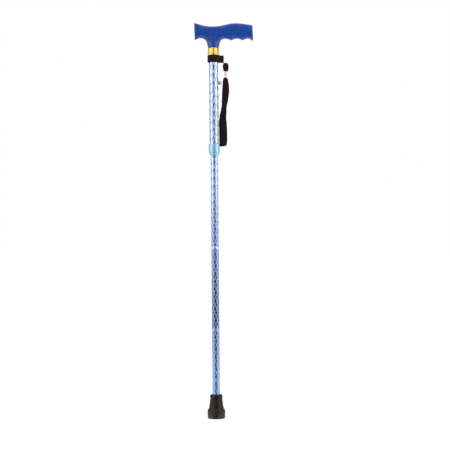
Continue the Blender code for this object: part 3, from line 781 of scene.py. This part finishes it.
def lower_tubes():
    colours = {
        "tube_2": ((0.25, 0.40, 0.68), (0.42, 0.62, 0.88), (0.80, 0.89, 1.0)),
        "tube_3": ((0.13, 0.20, 0.46), (0.22, 0.36, 0.62), (0.70, 0.82, 0.98)),
        "tube_4": ((0.30, 0.48, 0.80), (0.20, 0.33, 0.64), (0.76, 0.90, 1.0)),
    }
    patterns = {
        "tube_2": {"pitch": 16.6, "phase": -7.06, "twist": 0.002, "origin": FRONT - 0.197},
        "tube_3": {"pitch": 16.4, "phase": -5.46, "twist": 0.0085, "origin": FRONT + 0.13},
        "tube_4": {"pitch": 16.6, "phase": 6.34, "twist": 0.0085, "origin": FRONT + 0.16},
    }
    for name, span in LOWER_TUBES.items():
        finish = anodised(name.replace("_", " ") + " relief", span, *colours[name])
        body = name.replace("tube", "section")
        pattern = {"count": 14, **patterns[name]}
        embossed_tube(name, finish, body, (*span, LOWER_BORE, LOWER_R), pattern, 0.18)


def inner_tube():
    """Plain tube with the button's hole and the holes of the cord's anchor pin."""
    bottom, top, bore, radius = INNER_TUBE
    wall = turned(eased([(bore, bottom), (radius, bottom), (radius, top), (bore, top)], 0.15), 96)
    pin = turned([(0, -9), (1.1, -9), (1.1, 9), (0, 9)], 24)
    bmesh.ops.rotate(pin, matrix=Matrix.Rotation(math.pi / 2, 3, "X"), verts=pin.verts)
    bmesh.ops.translate(pin, vec=Vector((3.6, 0, 616.0)) * MM, verts=pin.verts)
    data = cut_away(wall, hole_tool(3.0, 11.0, BUTTON_Z), pin)
    finish = drawn_tube()
    dressed("drawn_inner_tube", data, finish, "height_tube", "inner_tube", slot="pale_blue_anodising")


def elastic_cord():
    """Cord through all the lower sections, in three lengths that each stretch across one joint."""
    heights = (626.9, 455.0, 275.0, 9.6)
    radius, rows, margin = 1.6, 60, 15
    finish = elastic_braid()
    for k, (high, low) in enumerate(zip(heights, heights[1:])):
        side = [(radius, low + (high - low) * j / rows) for j in range(rows + 1)]
        mesh = turned([(0, low), *side, (0, high)], 24)
        cord = piece(f"braided_cord_{k + 1}", mesh, finish, None, "elastic_cord", slot="elastic_braid")
        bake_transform(cord)


def joint_rings():
    light = bright_aluminium()
    deep = bright_aluminium("turned blue aluminium", (0.42, 0.54, 0.80), (0.52, 0.65, 0.87))
    for k, (name, (bottom, top, bore)) in enumerate(JOINTS.items()):
        finish = deep if name == "joint_ring_3" else light
        outline = eased([(bore, bottom), (RING_R, bottom), (RING_R, top), (bore, top)], 0.45)
        mesh = turned(outline, 96)
        piece(f"turned_{name}", mesh, finish, f"section_{k + 2}", name, slot="bright_aluminium")


# Height lock


def snap_button():
    reach = [(0, 3.8), (4.5, 3.8), (4.5, 4.6), (BUTTON_R, 4.6), (BUTTON_R, 14.2)]
    turns = [math.radians(7.5 * k) for k in range(1, 12)]
    dome = [(BUTTON_R * math.cos(a), 14.4 + 2.6 * math.sin(a)) for a in turns]
    mesh = turned([*reach, *dome, (0, 17.0)], 72, "X")
    bmesh.ops.translate(mesh, vec=(0, 0, BUTTON_Z * MM), verts=mesh.verts)
    piece("domed_snap_button", mesh, copper_button(), "snap_button", "snap_button", slot="copper_button")


def leaf_spring():
    """V of flat steel, which closes against the far side of the bore as the button goes in."""
    button_leg = [(3.25, 7.0), (3.25, -6.5), (2.9, -8.7), (1.75, -15.85), (0.6, -23.0)]
    fold = [(-0.5, -26.6), (-0.95, -27.35), (-1.6, -27.5), (-2.25, -27.0)]
    far_leg = [(-2.6, -25.0), (-3.8, -17.3), (-5.15, -8.7), (-5.27, -7.3), (-5.3, 7.0)]
    course = [Vector(point) for point in button_leg + fold + far_leg]
    mesh = bmesh.new()
    sides = ([], [])
    for k, point in enumerate(course):
        along = (course[min(k + 1, len(course) - 1)] - course[max(k - 1, 0)]).normalized()
        for row, offset in zip(sides, (LEAF_THICKNESS / 2, -LEAF_THICKNESS / 2)):
            row.append(point + Vector((-along.y, along.x)) * offset)
    front = -LEAF_WIDTH / 2 * MM
    corners = [(p.x * MM, front, BUTTON_Z * MM + p.y * MM) for p in sides[0] + sides[1][::-1]]
    face = mesh.faces.new([mesh.verts.new(corner) for corner in corners])
    grown = bmesh.ops.extrude_face_region(mesh, geom=[face])["geom"]
    back = [part for part in grown if isinstance(part, bmesh.types.BMVert)]
    bmesh.ops.translate(mesh, vec=(0, LEAF_WIDTH * MM, 0), verts=back)
    rims = [edge for edge in mesh.edges if len({vert.co.y > 0 for vert in edge.verts}) == 1]
    soft = {"offset": 0.08 * MM, "segments": 2, "affect": "EDGES", "profile": 0.5, "material": -1}
    bmesh.ops.bevel(mesh, geom=rims, **soft)
    bmesh.ops.recalc_face_normals(mesh, faces=mesh.faces)
    finish = spring_steel()
    leaf = piece("bent_leaf_spring", mesh, finish, "height_tube", "button_spring", slot="spring_steel")
    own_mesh(leaf)


def lock_collar():
    """Smooth collar with a cone at its lower end and softened edges."""
    cone = [(7.95, 557.2), (8.7, 557.2), (11.5, 563.0)]
    outside = [(11.95, 564.4), (11.95, 580.0), (11.6, 581.4)]
    inside = [(11.05, 581.4), (11.05, 564.4), (7.95, 558.2)]
    mesh = turned(eased(cone + outside + inside, 0.5), 128)
    finish = collar_plastic()
    piece("smooth_lock_collar", mesh, finish, "lock_collar", "lock_collar", slot="blue_collar_plastic")


# Rubber foot


def rubber_foot():
    """Grooved tread, wide flange, funnel with a rolled lip, and the socket for the tube."""
    tread = [(0, 0), (7.0, 0), (7.6, 1.5), (9.4, 1.5), (10.0, 0), (12.2, 0), (12.8, 1.5), (14.4, 1.5)]
    edge = [(15.0, 0), (17.5, 0), (18.3, 0.9), (18.3, 2.4), (18.15, 2.8), (18.6, 3.3)]
    flange = [(18.8, 12.5), (18.8, 16.0), (18.4, 18.2), (16.3, 20.9)]
    funnel = [(15.5, 23.2), (14.6, 30.3), (13.4, 38.8), (13.0, 42.5)]
    lip = [(13.35, 45.5), (13.3, 47.6), (12.4, 50.3), (10.8, 51.2), (9.4, 50.8), (8.35, 48.8)]
    outline = tread + edge + flange + funnel + lip + [(8.35, 6.2), (0, 6.2)]
    body = eased(outline[1:-1], 0.9, 4, False)
    mesh = turned([outline[0], *body, outline[-1]], 128)
    piece("rubber_foot", mesh, black_rubber(), "section_4", "ferrule", slot="black_rubber")


# Wrist strap


def swept(rings, closed):
    """Webbing swept through frames of (centre, across, facing, half width, half thickness, bow).

    Its UV map gives the place across and along the webbing, in metres.
    """
    cross = [(-1.0, 0.0), (-0.93, 0.8), (-0.8, 1.0), (-0.4, 1.0)]
    cross += [(0.0, 1.0), (0.4, 1.0), (0.8, 1.0), (0.93, 0.8)]
    cross += [(-s, -t) for s, t in cross]
    mesh = bmesh.new()
    uv = mesh.loops.layers.uv.new("weave")
    loops = [bmesh.ops.create_circle(mesh, segments=len(cross), radius=1.0)["verts"]]
    edges = rim(loops[0])
    for _ in rings[1:]:
        grown = bmesh.ops.extrude_edge_only(mesh, edges=edges)["geom"]
        fresh = [part for part in grown if isinstance(part, bmesh.types.BMVert)]
        edges = rim(fresh)
        new = set(fresh)
        loops.append([opposite(vert, new) for vert in loops[-1]])
    length = 0.0
    where = {}
    for k, (verts, ring) in enumerate(zip(loops, rings)):
        centre, across, facing, half, thick, bow = ring
        if k:
            length += (centre - rings[k - 1][0]).length
        for vert, (s, t) in zip(verts, cross):
            vert.co = (centre + across * (s * half) + facing * (t * thick + bow * (1 - s * s))) * MM
            where[vert] = (s * half * MM, length * MM, k)
    total = (length + (rings[0][0] - rings[-1][0]).length) * MM
    if closed:
        bmesh.ops.bridge_loops(mesh, edges=edges + rim(loops[0]))
    else:
        for end in (edges, rim(loops[0])):
            bmesh.ops.edgeloop_fill(mesh, edges=end)
    for face in mesh.faces:
        at_seam = len(rings) - 1 in {where[loop.vert][2] for loop in face.loops}
        for loop in face.loops:
            u, v, k = where[loop.vert]
            loop[uv].uv = (u, total if at_seam and k == 0 else v)
    bmesh.ops.recalc_face_normals(mesh, faces=mesh.faces)
    return mesh


def opposite(vert, others):
    """The point among the others that an edge joins to this one."""
    return next(edge.other_vert(vert) for edge in vert.link_edges if edge.other_vert(vert) in others)


def loop_rings(stations, per_leg, pinches, tilt=0.0, bend_steps=14):
    """Frames of a flat loop whose two legs hang face to face.

    Each station is (height, x, turn, half gap, shift of the legs across, width, bow). The pinches
    are the shares of the width that the top and the bottom fold lose, and tilt slants the bottom.
    """
    rising = sorted(stations)
    high, low = stations[0][0], stations[-1][0]

    def ring(height, up, out):
        values = [smooth([(row[0], row[c]) for row in rising], height) for c in range(1, 7)]
        x, turn, half_gap, shift, width, bow = values
        angle = math.radians(turn)
        across = Vector((math.cos(angle), math.sin(angle), 0))
        away = Vector((-across.y, across.x, 0))
        facing = (away * out + Vector((0, 0, up))).normalized()
        offset = (away * half_gap + across * shift) * out + Vector((0, 0, half_gap * up))
        pinch = 1 - pinches[0 if up > 0 else 1] * up**2
        across.z = tilt * max(0.0, -up)
        centre = Vector((x, LINK[1], height)) + offset
        return centre, across, facing, width / 2 * pinch, WEBBING_THICKNESS / 2, bow

    down = [high + (low - high) * k / per_leg for k in range(per_leg + 1)]
    bend = [math.pi * k / bend_steps for k in range(1, bend_steps)]
    rings = [ring(height, 0.0, 1.0) for height in down]
    rings += [ring(low, -math.sin(a), math.cos(a)) for a in bend]
    rings += [ring(height, 0.0, -1.0) for height in reversed(down)]
    rings += [ring(high, math.sin(a), -math.cos(a)) for a in bend]
    return rings


def strap_webbing():
    dark, light = (0.0092, 0.0045, 0.0038), (0.031, 0.0180, 0.0152)
    return webbing("black strap webbing", 0.0022, 0.0026, dark, light)


def strap_band():
    """Elastic band round the tube. Its ends lie together as the tab, a little wider where sewn."""
    radius, start = 11.95, math.radians(38)
    tab = [(22.6, 0.92), (19.0, 0.92), (16.6, 0.95), (14.9, 1.5), (13.4, 2.9), (11.9, 5.0)]
    arc = [start + (math.tau - 2 * start) * k / 60 for k in range(61)]
    outline = tab + [(radius * math.cos(a), radius * math.sin(a)) for a in arc]
    outline += [(x, -y) for x, y in reversed(tab)]
    line = resampled(outline, 150)
    rings = []
    turn = Matrix.Rotation(STRAP_AZIMUTH, 3, "Z")
    for k, point in enumerate(line):
        ahead, behind = line[min(k + 1, len(line) - 1)], line[max(k - 1, 0)]
        along = (ahead - behind).normalized()
        facing = turn @ Vector((-along.y, along.x, 0)) * -1
        centre = turn @ Vector((point.x, point.y, 0)) + Vector((0, 0, BAND_Z))
        half_width = 7.6 + 0.45 * math.exp(-((point.x - 18.6) / 2.6) ** 2)
        rings.append((centre, Vector((0, 0, 1)), facing, half_width, BAND_THICKNESS / 2, 0.0))
    mesh = swept(rings, closed=False)
    dark, light = (0.0100, 0.0054, 0.0040), (0.035, 0.0205, 0.0155)
    finish = webbing("black elastic band", 0.0018, 0.0016, dark, light)
    piece("woven_band", mesh, finish, "strap_band", "strap_band", slot="black_webbing", angle=50)


def resampled(points, count):
    """Points at even steps along a line of (x, y) points."""
    line = [Vector(p) for p in points]
    lengths = [0.0]
    for a, b in zip(line, line[1:]):
        lengths.append(lengths[-1] + (b - a).length)
    made = []
    k = 0
    for j in range(count):
        goal = lengths[-1] * j / (count - 1)
        while k < len(line) - 2 and lengths[k + 1] < goal:
            k += 1
        share = (goal - lengths[k]) / (lengths[k + 1] - lengths[k])
        made.append(line[k].lerp(line[k + 1], max(0.0, min(1.0, share))))
    return made


def band_stitching():
    """Two rows of seven stitches on each side of the tab."""
    mesh = bmesh.new()
    turn = Matrix.Rotation(STRAP_AZIMUTH, 4, "Z")
    stitch = Matrix.Diagonal((0.24, 0.2, 0.68, 1.0))
    lowest, pitch = BAND_Z - 5.0, 1.75
    for side in (-1, 1):
        for radial in (16.6, 17.5):
            for k in range(7):
                at = Vector((radial, side * 1.83, lowest + pitch * k)) * MM
                place = turn @ Matrix.Translation(at) @ Matrix.Rotation(0.12 * side, 4, "Y") @ stitch
                bmesh.ops.create_uvsphere(mesh, u_segments=10, v_segments=8, radius=MM, matrix=place)
    piece("band_stitching", mesh, sewing_thread(), "strap_band", slot="black_webbing")


def tether():
    x = LINK[0] + 0.1
    stations = [
        (752.3, x, 10, 1.65, 0, 9.8, 0.3),
        (749.0, x + 0.2, 10, 1.9, 0, 12.0, 0.15),
        (745.5, x + 0.2, 10, 2.3, 0, 11.8, 0.2),
        (742.5, x + 0.3, 10, 2.55, 0, 10.9, 0.3),
        (740.1, x + 0.4, 10, 2.65, 0, 10.2, 0.3),
    ]
    mesh = swept(loop_rings(stations, 20, pinches=(0.42, 0.04)), closed=True)
    finish = strap_webbing()
    piece("woven_tether", mesh, finish, "tether", "tether_loop", slot="black_webbing", angle=60)


def wrist_loop():
    stations = [
        (719.6, 25.2, -5, 2.65, 0, 10.3, 0.5),
        (713.3, 25.3, -5, 2.35, 0, 12.0, 0.4),
        (707.9, 25.7, -5, 2.1, 0, 13.4, 0.3),
        (700.6, 25.5, -5, 1.5, 0, 14.3, 0.2),
        (695.2, 25.4, -8, 1.4, 0, 14.8, 0.1),
        (687.8, 24.8, -27, 1.4, 0, 15.2, 0.1),
        (682.5, 24.3, -34, 1.4, 0, 15.2, 0.1),
        (674.0, 23.5, -40, 1.4, 0, 15.2, 0.1),
        (668.0, 22.8, -50, 1.4, 0, 15.2, 0.1),
        (662.4, 22.0, -56, 1.4, 0, 15.2, 0.1),
        (658.1, 21.2, -53, 1.4, 0, 15.2, 0.1),
        (652.8, 20.6, -47, 1.4, 0, 15.2, 0.1),
        (642.2, 19.2, -26, 1.4, -0.4, 15.2, 0.1),
        (631.6, 18.6, -15, 1.4, -1.1, 15.2, 0.1),
        (621.0, 18.9, -8, 1.4, -1.2, 15.2, 0.1),
        (610.4, 19.3, -6, 1.4, -1.2, 15.2, 0.1),
        (594.5, 19.4, -6, 1.4, -1.2, 15.2, 0.1),
        (586.0, 19.2, -6, 1.4, -0.9, 15.2, 0.15),
        (579.4, 18.8, -8, 1.5, -0.6, 14.6, 0.2),
    ]
    mesh = swept(loop_rings(stations, 130, pinches=(0.5, 0.08), tilt=0.11), closed=True)
    finish = strap_webbing()
    piece("woven_wrist_loop", mesh, finish, "wrist_loop", "wrist_loop", slot="black_webbing", angle=60)


def link():
    """Clear sleeve and the clear cord with its two knots."""
    sleeve = turned(eased([(1.3, 0.6), (3.2, 0.6), (3.2, 13.8), (1.3, 13.8)], 0.45), 64)
    low = [(0, -4.9), (1.0, -4.7), (1.7, -3.7), (1.7, -2.9), (1.0, -1.9), (0.9, -1.5)]
    high = [(0.9, 15.9), (1.0, 16.3), (1.7, 17.3), (1.7, 18.1), (1.0, 19.1), (0, 19.3)]
    cord = turned(eased(low + high, 0.4, 4, False), 32)
    for mesh in (sleeve, cord):
        bmesh.ops.translate(mesh, vec=Vector(LINK) * MM, verts=mesh.verts)
    soft, pink = clear_plastic(), clear_plastic("clear cord", (0.84, 0.70, 0.66))
    piece("soft_clear_sleeve", sleeve, soft, "wrist_loop", "clear_sleeve", slot="clear_plastic")
    piece("knotted_link_cord", cord, pink, "wrist_loop", "link_cord", slot="clear_plastic")


# Carried-over pieces


def dress_inner_parts(nodes):
    """Finishes of the CAD nodes whose own shape is right."""
    finishes = {
        white_nylon(): "handle_core split_bush squeeze_ring glide_ring anchor_plug end_plug",
        spring_steel(): "handle_pin anchor_pin ferrule_washer",
        bright_aluminium(): "cord_stop_top cord_stop_bottom spigot_1 spigot_2 spigot_3",
        sewing_thread(): "tether_thread",
    }
    for finish, names in finishes.items():
        for name in names.split():
            data = nodes[name].data
            data.materials.clear()
            data.materials.append(finish)


# Studio


def surroundings(look, x, y, half, dark, dullness):
    """What polished surfaces see in a direction.

    It is white, with a dark gap towards the camera of the given half angle, and duller on both
    sides behind the stick.
    """
    angle = x.maths("ARCTAN2", x, y * -1)
    turn = abs(angle)
    gap = 1 - (turn / half).between(0.55, 1.45)
    begin, full, fade, end = (math.radians(degrees) for degrees in (92, 112, 140, 160))
    side = turn.between(begin, full) * (1 - turn.between(fade, end))
    dull = look.mix(angle.between(-0.2, 0.2), (0.42, 0.46, 0.53), (0.56, 0.53, 0.64))
    return look.mix(gap, look.mix(side * dullness, WHITE, dull), dark)


def studio_floor():
    """White floor with a faint shadow near the foot. Its dark gap is wider at two distances."""
    mesh = bmesh.new()
    bmesh.ops.create_circle(mesh, cap_ends=True, segments=96, radius=20.0)
    floor = placed("studio floor", mesh_data("studio floor", mesh))
    look = new_look("pale studio floor")
    seen, mirrored, through = look.rays()
    x, y = look.split(look.place())[:2]
    square = x * x + y * y
    distance = square.maths("SQRT", square)
    far = distance.between(0.056, 0.31)
    wide = distance.between(0.6, 2.5) * (1 - distance.between(3.9, 19.5))
    near = distance.between(0.13, 0.19) * (1 - distance.between(0.40, 0.48))
    half = math.radians(18) + wide * math.radians(47) + near * math.radians(38)
    paper = look.node("ShaderNodeBsdfDiffuse", None, {"Color": (0.95, 0.95, 0.95, 1.0)})
    white = look.mix(mirrored, WHITE, surroundings(look, x, y, half, LOW_GAP, 0.45))
    glow = look.node("ShaderNodeEmission", None, {"Color": white, "Strength": 1.06})
    direct = seen.maths("MAXIMUM", seen, through)
    share = direct.maths("MAXIMUM", direct * (0.88 + far * 0.12), mirrored)
    floor.data.materials.append(look.end(look.shade(share, paper, glow)))


def studio_world():
    """White behind the object, a soft even light, and a dark gap towards the camera for gloss."""
    world = bpy.data.worlds.new("studio")
    bpy.context.scene.world = world
    look = Look(world)
    seen, mirrored, through = look.rays()
    x, y, z = look.split(look.node("ShaderNodeTexCoord", None, None, 0))
    low = 1 - z.between(0.042, 0.05)
    half = math.radians(9) + low * math.radians(9)
    dark = look.mix(low, HIGH_GAP, LOW_GAP)
    gloss = surroundings(look, x, y, half, dark, 1.0 - low * 0.55)
    plain = look.node("ShaderNodeBackground", None, {0: look.colour(WHITE), 1: 1.0})
    shine = look.node("ShaderNodeBackground", None, {0: gloss, 1: 1.0})
    fill = look.node("ShaderNodeBackground", None, {0: look.colour(WHITE), 1: 0.62})
    lit = look.shade(mirrored, fill, shine)
    look.end(look.shade(seen.maths("MAXIMUM", seen, through), lit, plain), "ShaderNodeOutputWorld")


def strip_light(name, azimuth, distance, height, width, tall, radiance):
    """A tall soft light that faces the stick. Azimuth 0 is the camera's side."""
    data = bpy.data.lights.new(name, "AREA")
    data.shape = "RECTANGLE"
    data.size = width
    data.size_y = tall
    data.energy = radiance * math.pi * width * tall
    lamp = placed(name, data)
    turn = math.radians(azimuth)
    lamp.location = (distance * math.sin(turn), -distance * math.cos(turn), height)
    aim = Vector((0.0, 0, height)) - lamp.location
    lamp.rotation_euler = aim.to_track_quat("-Z", "Y").to_euler()


def studio_camera():
    """Level camera at half the height of the stick, with the stick left of the middle."""
    data = bpy.data.cameras.new("photo camera")
    data.sensor_width = 36.0
    data.lens = data.sensor_width * CAMERA_DISTANCE / VIEW_WIDTH
    data.shift_x = STICK_LEFT_PIXELS / PHOTO_PIXELS
    camera = placed("photo camera", data)
    camera.location = (0.0, -CAMERA_DISTANCE, VIEW_CENTRE)
    level = Vector((0, 1, 0)).to_track_quat("-Z", "Y").to_matrix()
    camera.rotation_euler = (level @ Matrix.Rotation(CAMERA_ROLL, 3, "Z")).to_euler()
    bpy.context.scene.camera = camera


def main():
    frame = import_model()
    handle()
    brass_ring()
    upper_tube()
    inner_tube()
    lower_tubes()
    elastic_cord()
    joint_rings()
    snap_button()
    leaf_spring()
    lock_collar()
    rubber_foot()
    strap_band()
    band_stitching()
    tether()
    link()
    wrist_loop()
    dress_inner_parts(frame["nodes"])
    studio_floor()
    studio_world()
    for name, azimuth in (("left strip", -62), ("right strip", 62)):
        strip_light(name, azimuth, distance=1.7, height=0.97, width=0.26, tall=1.06, radiance=3.2)
    studio_camera()
    bpy.context.scene.view_settings.view_transform = "Standard"


main()
